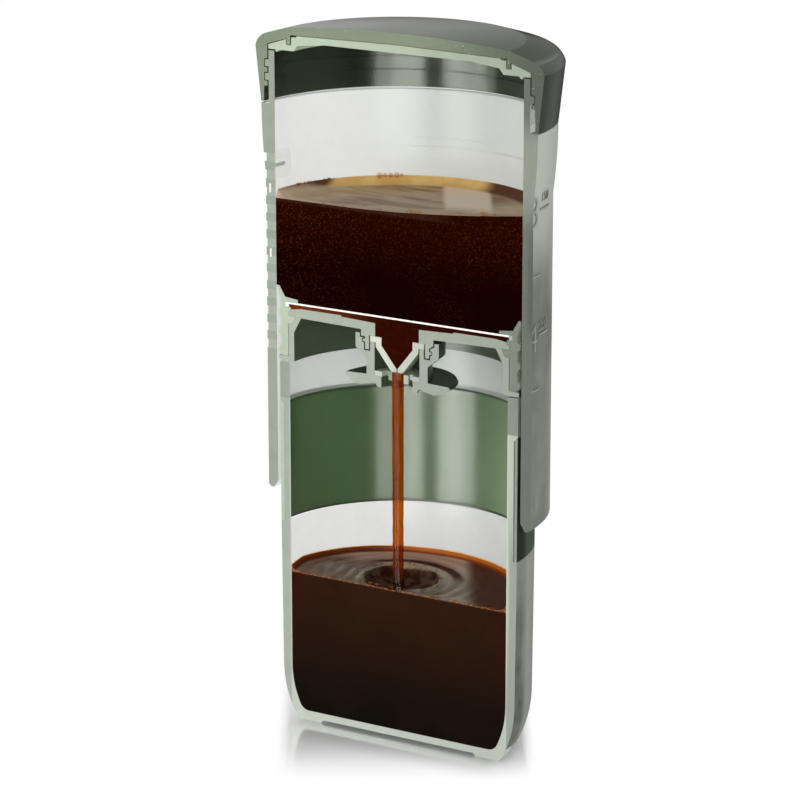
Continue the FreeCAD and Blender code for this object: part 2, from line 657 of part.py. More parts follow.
os.makedirs("parts", exist_ok=True)
for name, make in PIECES.items():
    solid = displayed(make())
    solid.exportStep("parts/" + name + ".step")
    print(f"{name:15s} solids {len(solid.Solids)} valid {solid.isValid()} volume {solid.Volume:.1f}")
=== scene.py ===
import math
import random

import bmesh
import bpy
from mathutils import Matrix, Vector


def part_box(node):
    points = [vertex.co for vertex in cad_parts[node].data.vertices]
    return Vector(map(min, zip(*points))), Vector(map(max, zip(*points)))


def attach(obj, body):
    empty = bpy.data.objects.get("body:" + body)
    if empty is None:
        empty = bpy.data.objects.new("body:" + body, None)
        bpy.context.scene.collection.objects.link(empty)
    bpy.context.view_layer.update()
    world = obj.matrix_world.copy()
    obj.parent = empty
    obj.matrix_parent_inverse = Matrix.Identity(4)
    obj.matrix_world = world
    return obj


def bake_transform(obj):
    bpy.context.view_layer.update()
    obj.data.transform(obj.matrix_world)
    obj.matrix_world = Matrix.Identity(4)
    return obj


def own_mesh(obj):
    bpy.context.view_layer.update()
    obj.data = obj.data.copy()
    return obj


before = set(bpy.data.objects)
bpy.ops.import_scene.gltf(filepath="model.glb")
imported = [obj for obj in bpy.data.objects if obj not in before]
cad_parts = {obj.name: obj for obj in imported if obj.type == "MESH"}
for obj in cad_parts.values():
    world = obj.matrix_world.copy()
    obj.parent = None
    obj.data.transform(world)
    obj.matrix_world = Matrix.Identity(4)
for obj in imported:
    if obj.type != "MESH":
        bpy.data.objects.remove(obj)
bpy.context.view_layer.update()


# Cup. A tumbler moulded in frosted clear plastic, with its foot ring and the large curve above
# it in one piece. The green band lies in its recess, and there the wall is polished clear.
CUT_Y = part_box("lid")[0].y
CUT_SKIN = 0.00002


class Shade:
    """A socket of a finish. Sums on it add Math nodes, and node() adds any other node."""

    def __init__(self, tree, socket=None):
        self.tree = tree
        self.socket = socket

    def node(self, kind, settings, inputs, output=0):
        made = self.tree.nodes.new("ShaderNode" + kind)
        for setting, value in settings.items():
            setattr(made, setting, value)
        for name, value in inputs.items():
            if isinstance(value, Shade):
                self.tree.links.new(value.socket, made.inputs[name])
            else:
                made.inputs[name].default_value = value
        return Shade(self.tree, made.outputs[output] if made.outputs else None)

    def out(self, name):
        return Shade(self.tree, self.socket.node.outputs[name])

    def math(self, operation, *others):
        return self.node("Math", {"operation": operation}, dict(enumerate((self,) + others)))

    def __add__(self, other):
        return self.math("ADD", other)

    def __sub__(self, other):
        return self.math("SUBTRACT", other)

    def __rsub__(self, other):
        return self.node("Math", {"operation": "SUBTRACT"}, {0: other, 1: self})

    def __mul__(self, other):
        return self.math("MULTIPLY", other)

    def __truediv__(self, other):
        return self.math("DIVIDE", other)

    def __lt__(self, other):
        return self.math("LESS_THAN", other)

    def __gt__(self, other):
        return self.math("GREATER_THAN", other)

    __radd__ = __add__
    __rmul__ = __mul__

    def rise(self, low, high):
        """0 up to low, 1 from high on, and smooth between them."""
        return self.node("MapRange", {"interpolation_type": "SMOOTHSTEP"},
                         {"Value": self, "From Min": low, "From Max": high})

    def fall(self, low, high):
        """1 up to low, 0 from high on, and smooth between them."""
        return 1 - self.rise(low, high)

    def stretch(self, start, full, fading, end):
        """1 from full to fading, 0 before start and after end, and smooth between them."""
        return self.rise(start, full) * self.fall(fading, end)

    def within(self, low, high):
        """1 between low and high, 0 outside them, with hard edges."""
        return (self > low) * (self < high)

    def colour(self, first, second):
        """The first colour where this is 0, and the second where it is 1."""
        return self.node("Mix", {"data_type": "RGBA"}, {0: self, 6: first, 7: second}, 2)


class Finish(Shade):
    """A new material's tree, with the places on the press that its patterns go by."""

    def __init__(self, name):
        self.material = bpy.data.materials.new(name)
        self.material.use_nodes = True
        self.material.node_tree.nodes.clear()
        super().__init__(self.material.node_tree)
        self.place = self.node("TexCoord", {}, {}, "Object")
        self.x = self.node("SeparateXYZ", {}, {"Vector": self.place}, "X")
        self.depth = self.x.out("Y") - CUT_Y
        self.z = self.x.out("Z")
        self.r = (self.x * self.x + self.depth * self.depth).math("SQRT")
        self.cut = self.depth < CUT_SKIN
        self.skin = 1 - self.cut

    def noise(self, size, detail=2.0):
        """Cloudy pattern from 0 to 1 whose spots are about this many metres across."""
        return self.node("TexNoise", {}, {
            "Vector": self.place, "Scale": 1 / size, "Detail": detail})

    def sawn(self, colour, far=0.32, start=-0.03):
        """Colour of a cut face: faintly cloudy, with painted shade darker towards the right-hand
        wall.
        """
        darkened = self.x.rise(start, 0.038).colour(colour, shade_of(colour, far))
        return (self.noise(0.004).rise(0.3, 0.7) * 0.12).colour(darkened, shade_of(colour, 0.4))

    def bumps(self, height, deep):
        """Normal of a surface whose height pattern is this deep, in metres."""
        return self.node("Bump", {}, {"Strength": 1.0, "Distance": deep, "Height": height})

    def coat(self, sockets):
        shader = self.node("BsdfPrincipled", {}, sockets)
        self.node("OutputMaterial", {}, {"Surface": shader})
        return self.material

    def two_coats(self, share, under, over):
        """One coat laid over another, with this share of the upper one showing."""
        mixed = self.node("MixShader", {}, {0: share, 1: under, 2: over})
        self.node("OutputMaterial", {}, {"Surface": mixed})
        return self.material


def tint(red, green, blue):
    """A colour as a screen shows it, 0 to 255, in the scale that light adds up in."""
    shown = [value / 255 for value in (red, green, blue)]
    return tuple(v / 12.92 if v < 0.04 else ((v + 0.055) / 1.055) ** 2.4 for v in shown) + (1.0,)


def shade_of(colour, share):
    return tuple(share * value for value in colour[:3]) + (1.0,)


def dress(node, material):
    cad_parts[node].material_slots[0].material = material


CUP_INNER_R = 0.02772
CUP_SAWN = tint(156, 164, 152)
FOOT_LINE_H = 0.00045
BAND_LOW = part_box("cup_band")[0].z
BAND_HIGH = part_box("cup_band")[1].z
BAND_INNER_R = 0.0294
BAND_OUTER_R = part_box("cup_band")[1].x
CLEAR_SHARE = 0.06
skin = Finish("frosted_cup")
inner = skin.r < CUP_INNER_R
cloud = skin.noise(0.006)
in_recess = skin.skin * (skin.r < BAND_INNER_R + 0.00002) * (skin.z < BAND_HIGH + 0.0001)
polished = in_recess * (skin.z > BAND_LOW - 0.0001 + inner * 0.0005)
at_foot = skin.z.within(BAND_LOW - 0.0001, BAND_LOW + FOOT_LINE_H)
foot_shade_line = in_recess * (1 - inner) * at_foot
# Outside, the right flank is painted as light and shade: a pale strip along the cut edge, darker
# beyond it and darkest towards the foot.
flank = (skin.x / skin.r).rise(0.5, 0.8)
by_cut = (skin.x / skin.r).rise(0.975, 0.999)
shadow = skin.z.rise(0.015, 0.05).colour(tint(84, 88, 76), tint(136, 142, 130))
outside = flank.colour(tint(172, 178, 168), by_cut.colour(tint(160, 167, 155), shadow))
# Painted shade on the inner wall above the band, at its far left.
wall_shade = (skin.z > BAND_HIGH) * skin.x.fall(-0.0265, -0.021)
wall = inner.colour(outside, (wall_shade * 0.35).colour(tint(238, 241, 236), tint(170, 180, 166)))
clouded = (cloud.rise(0.3, 0.7) * 0.2).colour(wall, tint(190, 198, 188))
# Painted shade along the band's lower edge in the recess: dark on the left, grey in the middle and
# dark green on the right.
line_left = skin.x.rise(-0.018, -0.010).colour(tint(44, 50, 36), tint(92, 98, 88))
line_shade = skin.x.rise(0.002, 0.008).colour(line_left, tint(46, 70, 38))
shaded = foot_shade_line.colour(polished.colour(clouded, tint(60, 74, 56)), line_shade)
milky = (1 - flank) * (0.44 + skin.x.fall(-0.03, 0.0) * 0.32) + 0.08
see_through = skin.skin * (inner * 0.64 + (1 - inner) * milky)
rim = skin.z.rise(BAND_HIGH + 0.0002, BAND_HIGH + 0.0006)
pale_right = skin.x.rise(0.0, 0.02) * skin.z.stretch(0.014, 0.036, 0.080, 0.088)
sawn = pale_right.colour(skin.sawn(CUP_SAWN, 0.82), tint(173, 182, 165))
# Painted highlight: a thin pale line along the inner edge of the cut face.
inner_edge_highlight = skin.r.fall(CUP_INNER_R + 0.0001, CUP_INNER_R + 0.0003) * 0.4
sawn = inner_edge_highlight.colour(sawn, tint(218, 226, 210))
right_edge = skin.x.rise(0.0, 0.02) * skin.r.rise(0.0279, 0.0288) * skin.z.fall(0.046, 0.062)
sawn = (right_edge * 0.9).colour(sawn, tint(138, 146, 132))
section = (rim * 0.9).colour(sawn, skin.sawn(tint(140, 149, 136), 0.6))
frosted = (1 - see_through) * (1 - polished)
dress("cup", skin.coat({
    "Base Color": skin.cut.colour(shaded, section),
    "Roughness": 0.32 + skin.cut * 0.55 - inner * 0.05 + flank * skin.skin * 0.3 + cloud * 0.08,
    "Alpha": frosted + polished * (1 - foot_shade_line) * CLEAR_SHARE + foot_shade_line,
    "Normal": skin.bumps(skin.noise(0.0004), 0.000004),
}))


# Cup band. A silicone band stretched into the cup's shallow recess. Its inner side lies wet and
# shiny against the clear wall, and its outside is matt to hold on to.
skin = Finish("band_green")
inner = skin.r < BAND_INNER_R + 0.0002
grain = skin.noise(0.0005, 3.0)
# Painted light and shade on the inner side: shaded under the top edge, and lit paler towards the
# right, most of all low down.
hollow = skin.z.rise(BAND_HIGH - 0.0016, BAND_HIGH - 0.0004)
right_lit = skin.z.rise(BAND_LOW, BAND_HIGH).colour(tint(188, 214, 172), tint(158, 186, 144))
lit = skin.x.rise(-0.004, 0.026).colour(tint(82, 110, 70), right_lit)
through = hollow.colour(lit, tint(42, 58, 38))
# Painted shade: the outside turns nearly black by the right cut edge.
outside = (skin.x / skin.r).rise(0.985, 0.995).colour(tint(62, 80, 56), tint(16, 12, 8))
rubber = inner.colour(outside, through)
core = skin.r.stretch(BAND_INNER_R, BAND_INNER_R + 0.0004, BAND_OUTER_R - 0.0003, BAND_OUTER_R)
dark_edges = skin.x.rise(0.0, 0.01) * (1 - core)
section = dark_edges.colour(skin.sawn(tint(150, 172, 142), 0.4), tint(30, 40, 26))
dress("cup_band", skin.coat({
    "Base Color": skin.cut.colour(rubber, section),
    "Roughness": (1 - inner * skin.skin) * 0.45 + 0.16 + grain * 0.08,
    "Normal": skin.bumps(grain * (1 - inner), 0.000015),
}))


# Piston. A plate on a skirt, moulded in dark green plastic. It carries the filter on top, the seal
# round its skirt and the valve under its threaded hub.
def moulded(name, outside, cut_face, roughness, sockets=None, far=0.32):
    """Moulded plastic or rubber: faint clouds, fine grain on its skin, a dull cut face with painted
    shade.
    """
    skin = Finish(name)
    cloud = skin.noise(0.005)
    shown = (cloud.rise(0.3, 0.7) * 0.5).colour(outside, shade_of(outside, 0.82))
    return skin.coat({
        "Base Color": skin.cut.colour(shown, skin.sawn(cut_face, far)),
        "Roughness": skin.cut * (0.9 - roughness) + roughness + cloud * 0.1,
        "Normal": skin.bumps(skin.noise(0.0005, 3.0), 0.000006),
    } | (sockets or {}))


dark_green = moulded("green_plastic", tint(58, 74, 52), tint(164, 173, 158), 0.3, None, 0.75)
dress("piston", dark_green)


# Piston seal. Soft pale green silicone: a wiping lip, a flange over the filter and three ribs.
# It is pulled over the piston's skirt and held by a bead in a groove.
SOFT = {
    "Subsurface Weight": 0.15,
    "Subsurface Radius": (0.0015, 0.0018, 0.0014),
    "Subsurface Scale": 1.0,
}
pale_green = moulded("seal_silicone", tint(184, 198, 174), tint(178, 192, 169), 0.45, SOFT)
dress("piston_seal", pale_green)


# Filter. A thin steel screen, etched full of holes, clipped in a white moulded rim.
# The seal's flange holds both down on the piston.
HOLE_PITCH = 0.0007
skin = Finish("etched_screen")
spots = skin.node("TexVoronoi", {}, {
    "Vector": skin.place, "Scale": 1 / HOLE_PITCH, "Randomness": 0.15})
open_hole = spots.fall(0.18, 0.3) * skin.skin
steel = open_hole.colour(tint(205, 200, 188), tint(60, 40, 28))
dress("filter_screen", skin.coat({
    "Base Color": skin.cut.colour(steel, tint(252, 250, 240)),
    "Metallic": skin.skin * 0.9,
    "Roughness": skin.noise(0.0006) * 0.2 + 0.25 + skin.cut * 0.4,
    "Normal": skin.bumps(spots, 0.00004),
}))
dress("filter_rim", moulded("white_plastic", tint(228, 229, 222), tint(255, 255, 250), 0.4))


# Valve. A duckbill moulded in soft milky silicone. The holder clamps its flange under the hub,
# and pressure opens its slit.
dress("valve", moulded("milky_silicone", tint(150, 176, 140), tint(230, 233, 217), 0.42, SOFT))


# Valve holder and its grille. The holder is screwed up on the hub and moulded in the piston's own
# plastic. The pale grille snapped into its outlet steadies the stream.
dress("valve_holder", dark_green)
dress("outlet_grille", moulded("grille_plastic", tint(150, 166, 148), tint(206, 213, 200), 0.4))


# Brew tube. A long tube of frosted clear plastic, polished clear at the neck inside the lid.
# The ribs of its grip show as light and dark steps down its left cut face.
TUBE_INNER_R = 0.03104
SHOULDER_R = 0.0337
TUBE_SAWN = tint(144, 152, 138)
NECK_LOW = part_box("lid")[0].z
GREENISH = (0.93, 1.0, 0.88, 1.0)
GRIP_PITCH = 0.00382
GRIP_TOP = 0.13
GRIP_LOW = GRIP_TOP - 12 * GRIP_PITCH
skin = Finish("frosted_tube")
inner = skin.r < TUBE_INNER_R
cloud = skin.noise(0.006)
neck = skin.skin * inner * (skin.z > NECK_LOW + 0.0007)
thread = skin.skin * (1 - inner) * (skin.z > NECK_LOW - 0.0001)
flank = (skin.x / skin.r).rise(0.5, 0.8)
# Painted shade on the outside: darker along the cut edge and in a band lower down. Higher up it is
# paler.
mid_shade = skin.z.stretch(0.086, 0.096, 0.097, 0.108)
by_cut = (skin.x / skin.r).rise(0.90, 0.985)
low_flank = by_cut.colour(tint(182, 188, 176), tint(130, 136, 125))
mid_shaded = (mid_shade * 0.7).colour(low_flank, tint(104, 109, 98))
side = skin.z.rise(0.106, 0.124).colour(mid_shaded, tint(204, 210, 199))
# Painted shade on the bore: a darker stretch left of the middle, darker again high up.
wall_shade = skin.x.stretch(-0.030, -0.009, -0.004, 0.016)
bore_shade_tone = skin.z.rise(0.126, 0.134).colour(tint(202, 207, 199), tint(168, 174, 166))
bore = wall_shade.colour(tint(238, 241, 237), bore_shade_tone)
wall = inner.colour(flank.colour(tint(172, 178, 168), side), bore)
clouded = (cloud.rise(0.3, 0.7) * 0.15).colour(wall, tint(190, 198, 188))
# Painted shadow: in the narrow gap by the right cut edge, low down, the bore is opaque and nearly
# black. The dark neck has a painted highlight streak just right of the middle.
gap_shadow = skin.skin * inner * (skin.x > 0.0296) * (skin.z < 0.0972)
neck_streak = skin.x.stretch(0.0, 0.004, 0.0055, 0.008)
shaded = (neck + gap_shadow).colour(clouded, (neck_streak * neck).colour(tint(30, 38, 28), tint(150, 156, 144)))
steps = ((skin.z - GRIP_TOP) / GRIP_PITCH).math("FRACT") > 0.5
ribbed = steps * (skin.x < 0) * skin.z.within(GRIP_LOW, GRIP_TOP)
right = skin.x > 0.0
flared = right * skin.z.stretch(0.118, 0.130, 0.138, 0.146) * 0.8
sawn = flared.colour(skin.sawn(TUBE_SAWN), tint(136, 143, 130))
dull = skin.z.stretch(0.094, 0.101, 0.112, 0.126) * skin.r.rise(0.0312, 0.0334)
sawn = (right * dull * 0.7).colour(sawn, tint(52, 56, 47))
section = (ribbed * 0.22).colour(sawn, tint(188, 196, 184))
shoulder = skin.z.within(NECK_LOW - 0.0006, NECK_LOW + 0.0001) * (skin.r > SHOULDER_R)
milky = (1 - flank) * (0.38 + skin.x.fall(-0.03, 0.0) * 0.36) + 0.08
milky = milky * (1 - shoulder)
see_through = skin.skin * (inner * 0.64 + (1 - inner) * milky)
frosted = (1 - see_through) * (1 - neck - thread - gap_shadow)
rough = 0.32 + skin.cut * 0.55 - inner * 0.05 + flank * skin.skin * 0.3 + cloud * 0.08
dress("brew_tube", skin.coat({
    "Base Color": skin.cut.colour(shaded, section),
    "Roughness": rough - neck * 0.12,
    "Alpha": frosted + neck * 0.4 + thread * 0.02 + gap_shadow,
    "Specular Tint": GREENISH,
    "Normal": skin.bumps(skin.noise(0.0004), 0.000004),
}))


# Lid. A screw cap moulded in the same dark green, with a satin crown and skirt, and shiny inside
# where the clear neck lies against it. Its cut face shows a few pale grains of the plastic.
LID_INNER_R = 0.0345
skin = Finish("lid_green")
cloud = skin.noise(0.004)
specks = skin.noise(0.0005, 0.0).rise(0.79, 0.82)
# The cut face has painted shade that darkens it strongly towards the right.
section = specks.colour(skin.sawn(tint(113, 126, 104), 0.18, 0.0), tint(204, 172, 138))
shell = (cloud.rise(0.3, 0.7) * 0.5).colour(tint(49, 59, 42), tint(43, 52, 36))
inside = skin.skin * (skin.r < LID_INNER_R)
# Painted light on the shiny inside: darker on the left, lighter on the right.
inside_lit_right = skin.x.rise(-0.004, 0.006).colour(tint(38, 47, 34), tint(66, 78, 60))
dress("lid", skin.coat({
    "Base Color": skin.cut.colour(inside.colour(shell, inside_lit_right), section),
    "Roughness": 0.36 + skin.cut * 0.5 - inside * 0.22 + cloud * 0.04,
    "Normal": skin.bumps(skin.noise(0.0006, 3.0) * (1 - inside), 0.000008),
    "Specular IOR Level": 0.62,
    "Specular Tint": (0.92, 1.0, 0.84, 1.0),
}))


# Lid liner. A soft disc of pale green silicone, pushed in past the rib inside the lid. It seals on
# the tube's edge and turns free in the lid.
liner_green = moulded("liner_silicone", tint(184, 198, 174), tint(180, 194, 171), 0.45, SOFT, 0.66)
dress("lid_liner", liner_green)


# Coffee in the cup. Half a cupful: its cut face is dark and faintly clouded, and its top is beaten
# into a crater with rings round it by the falling stream.
CUP_LEVEL = 0.0350
CUP_FIT = 0.00003
CUP_WALL_R = 0.0277
CURVE_R, CURVE_Z, CURVE_RADIUS = 0.00595, 0.013, 0.02175
ROUND_R, ROUND_Z, ROUND_RADIUS = 0.02328, 0.00485, 0.0026
LEAN_DEG = -25.2
VIEW_RIGHT = Vector((0.855, 0.518))
VIEW_BACK = Vector((-0.518, 0.855))
CRATER_MIDDLE = Vector((-0.0036, CUT_Y + 0.0078))
CRATER_WIDE = 0.0082
CRATER_LONG = 0.0082
HOLLOW_DEEP = 0.0030
RIM_HIGH = 0.0005
RIPPLE_HIGH = 0.00025
CREEP_HIGH = 0.0016
WOBBLE_HIGH = 0.00007
TILT = 0.036


def arc(middle_r, middle_z, radius, from_deg, to_deg, steps):
    """Points (r, z) of a round stretch of a profile."""
    angles = [math.radians(from_deg + (to_deg - from_deg) * i / steps) for i in range(steps + 1)]
    return [(middle_r + radius * math.cos(a), middle_z + radius * math.sin(a)) for a in angles]


def half_turned(profile, steps):
    """The profile (r, z) turned half a turn behind the cut plane, from +X round to -X."""
    shape = bmesh.new()
    points = [shape.verts.new((r, CUT_Y, z)) for r, z in profile]
    lines = [shape.edges.new(pair) for pair in zip(points, points[1:])]
    bmesh.ops.spin(shape, geom=points + lines, cent=(0, CUT_Y, 0), axis=(0, 0, 1),
                   angle=math.pi, steps=steps, use_merge=False)
    bmesh.ops.remove_doubles(shape, verts=shape.verts, dist=1e-7)
    return shape


def close_cut(shape):
    """Fill the open outline of a half turned shape with its flat cut face."""
    for vert in shape.verts:
        if vert.is_boundary:
            vert.co.y = CUT_Y
    rim = [edge for edge in shape.edges if edge.is_boundary]
    bmesh.ops.holes_fill(shape, edges=rim, sides=0)


def piece(shape, name, materials, sharp_deg=35.0):
    """A new piece from its finished shape. A second material goes on its cut face."""
    bmesh.ops.recalc_face_normals(shape, faces=shape.faces)
    for face in shape.faces:
        face.smooth = True
        if face.normal.y < -0.999 and all(abs(v.co.y - CUT_Y) < 1e-6 for v in face.verts):
            face.material_index = len(materials) - 1
    for edge in shape.edges:
        edge.smooth = len(edge.link_faces) == 2 and edge.calc_face_angle() < math.radians(sharp_deg)
    mesh = bpy.data.meshes.new(name)
    shape.to_mesh(mesh)
    shape.free()
    for material in materials:
        mesh.materials.append(material)
    made = bpy.data.objects.new(name, mesh)
    bpy.context.scene.collection.objects.link(made)
    return made


def crater(x, y):
    """Height of the ripples round the crater that the stream beats into the coffee."""
    off = Vector((x, y)) - CRATER_MIDDLE
    around = math.atan2(off.dot(VIEW_BACK), off.dot(VIEW_RIGHT))
    far = Vector((off.dot(VIEW_RIGHT) / CRATER_WIDE, off.dot(VIEW_BACK) / CRATER_LONG)).length
    far *= 1 + 0.035 * math.sin(3 * around + 0.6) + 0.02 * math.sin(7 * around)
    if far < 1:
        return -HOLLOW_DEEP * (1 - far ** 2) ** 0.7
    swirl = far - 1 + 0.05 * math.sin(2 * around)
    rim = RIM_HIGH * math.exp(-((swirl - 0.1) / 0.07) ** 2) * (0.75 + 0.25 * math.sin(5 * around))
    return rim + RIPPLE_HIGH * math.cos(swirl * 17.0) * math.exp(-swirl * 1.7)


RINGS = 90
top = []
for i in range(RINGS + 1):
    r = (CUP_WALL_R - CUP_FIT) * (1 - (i / RINGS) ** 1.15)
    top.append((r, CUP_LEVEL + CREEP_HIGH * math.exp(-(CUP_WALL_R - r) / 0.0006)))
profile = [(0.0, ROUND_Z - ROUND_RADIUS + CUP_FIT)]
profile += arc(ROUND_R, ROUND_Z, ROUND_RADIUS - CUP_FIT, -90.0, LEAN_DEG, 8)
profile += arc(CURVE_R, CURVE_Z, CURVE_RADIUS - CUP_FIT, LEAN_DEG, 0.0, 10)[1:]
profile += top
shape = half_turned(profile, 140)
for vert in shape.verts:
    if vert.co.z > CUP_LEVEL - 0.0005:
        x, depth = vert.co.x, vert.co.y - CUT_Y
        behind = min(1.0, max(0.0, depth / 0.004))
        wobble = math.sin(x * 930) + math.sin(x * 1710 + 1)
        vert.co.z += crater(x, vert.co.y) * behind
        vert.co.z -= TILT * behind * VIEW_RIGHT.dot(Vector((x, depth)))
        vert.co.z += WOBBLE_HIGH * wobble * (1 - behind)
close_cut(shape)

NO_GLOSS = {"Roughness": 0.6, "Specular IOR Level": 0.0}
skin = Finish("coffee_surface")
swirl = skin.noise(0.0045, 3.0)
off_x = skin.x - CRATER_MIDDLE.x
off_depth = skin.depth - (CRATER_MIDDLE.y - CUT_Y)
from_crater = (off_x * off_x + off_depth * off_depth).math("SQRT") + (swirl - 0.5) * 0.0008
hollow = from_crater.fall(0.0081, 0.0086)
back = skin.depth.rise(0.011, 0.017)
broken = skin.noise(0.0022).rise(0.38, 0.6)
# Painted highlight: a broken pale ring round the crater's rim, which is also shinier.
rim_highlight = broken * from_crater.stretch(0.0084, 0.0091, 0.0100, 0.0114)
dark_ring = back * from_crater.stretch(0.0110, 0.0120, 0.0132, 0.0146)
across = skin.x * VIEW_RIGHT.x + skin.depth * VIEW_RIGHT.y
# Painted light and shade: the right end is shaded, and a pale strip across the surface and the
# paler back are painted reflections.
shaded_end = across.rise(0.0145, 0.0180)
reflected_strip = across.stretch(0.0085, 0.0105, 0.0150, 0.0170)
plain = (swirl.rise(0.35, 0.65) * 0.6).colour(tint(100, 76, 62), tint(120, 96, 82))
with_reflected_strip = (reflected_strip * 0.4).colour(plain, tint(160, 146, 130))
back_reflection = (back * (1 - shaded_end) * 0.75).colour(with_reflected_strip, tint(178, 146, 124))
brown = (shaded_end * 0.9).colour(back_reflection, tint(78, 38, 20))
ringed = (rim_highlight * 0.6).colour(dark_ring.colour(brown, tint(64, 18, 4)), tint(138, 140, 130))
# Painted light where the coffee meets the wall: an amber edge, brighter towards the left, and a
# thin bright golden line against the wall.
left_end = skin.x.fall(-0.020, -0.008)
amber_edge_light = left_end.colour(tint(136, 58, 18), tint(78, 24, 4))
lip = left_end.colour(tint(196, 104, 36), tint(104, 38, 8))
creeping = skin.r.rise(0.0270, 0.0274).colour(amber_edge_light, lip)
edged = (skin.r.rise(0.0263, 0.0270) * 0.95).colour(ringed, creeping)
golden = skin.r.rise(0.02756, 0.02764).colour(edged, tint(238, 176, 84))
in_hollow = (broken * 0.6).colour(tint(44, 16, 6), tint(92, 70, 58))
cratered = (hollow * 0.95).colour(golden, in_hollow)
under_top = skin.z.fall(CUP_LEVEL - 0.0012, CUP_LEVEL - 0.0008)
colour = (under_top * (1 - hollow)).colour(cratered, tint(34, 18, 12))
waves = skin.bumps(skin.noise(0.0030, 2.0) * (1 - from_crater.rise(0.011, 0.017) * 0.85), 0.00022)
matt = skin.node("BsdfPrincipled", {}, {"Base Color": colour} | NO_GLOSS)
gloss = skin.node("BsdfPrincipled", {}, {
    "Base Color": colour,
    "Roughness": 0.08 + swirl * 0.08,
    "IOR": 1.33,
    "Normal": waves,
})
dulled = (1 - hollow * 0.9) * (1 - shaded_end * 0.75) * (1 - dark_ring * 0.7)
shine = (0.72 + rim_highlight * 0.28) * dulled
cup_surface = skin.two_coats(shine, matt, gloss)
skin = Finish("coffee_cut_face")
cloud = skin.noise(0.012, 3.0)
# The cut face is darker towards the bottom and redder near the walls.
height_tone = skin.z.rise(0.003, 0.033).colour(tint(20, 16, 12), tint(48, 28, 17))
side = skin.x.math("ABSOLUTE").rise(0.0235, 0.0276) * skin.z.rise(0.010, 0.034)
warm = (side * 0.5).colour(height_tone, tint(56, 15, 7))
clouded = (cloud.rise(0.35, 0.7) * 0.5).colour(warm, tint(34, 22, 15))
# Painted glints: pale specks along the top edge of the cut face.
specks = skin.noise(0.0005, 3.0).rise(0.44, 0.62) * 0.7 + 0.3
lip = skin.z.rise(CUP_LEVEL - 0.0004, CUP_LEVEL - 0.0001) * specks
cup_cut = skin.coat({
    "Base Color": lip.colour(clouded, tint(168, 112, 74)),
    "Roughness": 0.6 + cloud * 0.2,
    "Specular IOR Level": 0.0,
    "Normal": skin.bumps(cloud, 0.0001),
})
coffee_low = piece(shape, "coffee_in_cup", [cup_surface, cup_cut])
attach(coffee_low, "cup")


# Brewing coffee. It stands in the tube on the filter, full of fine froth that shows in its cut
# face. It creeps up towards the right, where the tube is tilted a little in the hand.
BREW_LEVEL = 0.1202
BREW_R = 0.03096
FILTER_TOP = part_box("filter_screen")[1].z
LIP_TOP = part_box("piston_seal")[1].z
OPEN_SCREEN_R = 0.02543
FLANGE = [(OPEN_SCREEN_R, 0.09783), (0.02878, 0.09818)]
LIP_FOOT_R = 0.03018
CLIMB = 0.0032
MENISCUS = 0.0018


def slope(x, y):
    """How far the brew stands above its level near the cut face, towards +X."""
    along = max(0.0, (x + 0.015) / 0.046)
    return CLIMB * along ** 1.9 * math.exp(-(y - CUT_Y) / 0.009)


def behind_cut(x, depth):
    """Share of its height that the brew's edge has: soon all on the left, slowly on the right."""
    return min(1.0, max(0.0, depth) / (0.0008 if x < 0 else 0.009))


profile = [(0.0, FILTER_TOP + 0.00001), (OPEN_SCREEN_R, FILTER_TOP + 0.00001)] + FLANGE
profile += [(LIP_FOOT_R, LIP_TOP + 0.00003), (BREW_R, LIP_TOP + 0.00005)]
BREW_RINGS = 60
for i in range(BREW_RINGS + 1):
    r = BREW_R * (1 - (i / BREW_RINGS) ** 1.2)
    profile.append((r, BREW_LEVEL))
shape = half_turned(profile, 110)
for vert in shape.verts:
    if vert.co.z > BREW_LEVEL - 0.0005:
        depth = vert.co.y - CUT_Y
        climb = MENISCUS * math.exp(-(BREW_R - math.hypot(vert.co.x, depth)) / 0.0009)
        vert.co.z += slope(vert.co.x, vert.co.y) + climb * behind_cut(vert.co.x, depth)
close_cut(shape)

skin = Finish("crema")
drawn_out = skin.node("Mapping", {}, {
    "Vector": skin.place, "Rotation": (0, 0, 0.54), "Scale": (0.35, 1, 1)})
swirl = skin.node("TexNoise", {}, {
    "Vector": drawn_out, "Scale": 1 / 0.0045, "Detail": 3.0, "Distortion": 0.6})
froth = skin.noise(0.0006, 3.0)
across = skin.x * VIEW_RIGHT.x + skin.depth * VIEW_RIGHT.y
sheen = across.stretch(0.0095, 0.0112, 0.0198, 0.0212) * skin.depth.rise(0.004, 0.014)
surface = swirl.rise(0.36, 0.62).colour(tint(146, 112, 86), tint(184, 156, 128))
ends = skin.x.fall(-0.030, -0.012) + skin.x.rise(0.011, 0.020)
surface = (ends * 0.6).colour(surface, tint(214, 194, 164))
# Painted highlight: a pale patch at the right front end, in the sheen's colour.
right_end_sheen = skin.x.rise(0.022, 0.028) * skin.depth.fall(0.006, 0.012)
surface = (sheen + right_end_sheen * 0.8).colour(surface, tint(232, 210, 190))
middle = skin.x.stretch(-0.0272, -0.0255, 0.003, 0.008)
patchy = skin.noise(0.0035, 2.0).rise(0.3, 0.6)
golden = (patchy * 0.55).colour(tint(238, 200, 130), tint(214, 164, 92))
rim = (middle * 0.9).colour(tint(92, 54, 34), golden)
narrowed = skin.r - skin.depth.fall(0.006, 0.022) * 0.0026
band = narrowed.rise(0.0275, 0.0292) * skin.depth.rise(0.0004, 0.004)
under_top = skin.z.fall(BREW_LEVEL - 0.0012, BREW_LEVEL - 0.0008)
colour = under_top.colour(band.colour(surface, rim), tint(30, 10, 5))
matt = skin.node("BsdfPrincipled", {}, {"Base Color": colour} | NO_GLOSS)
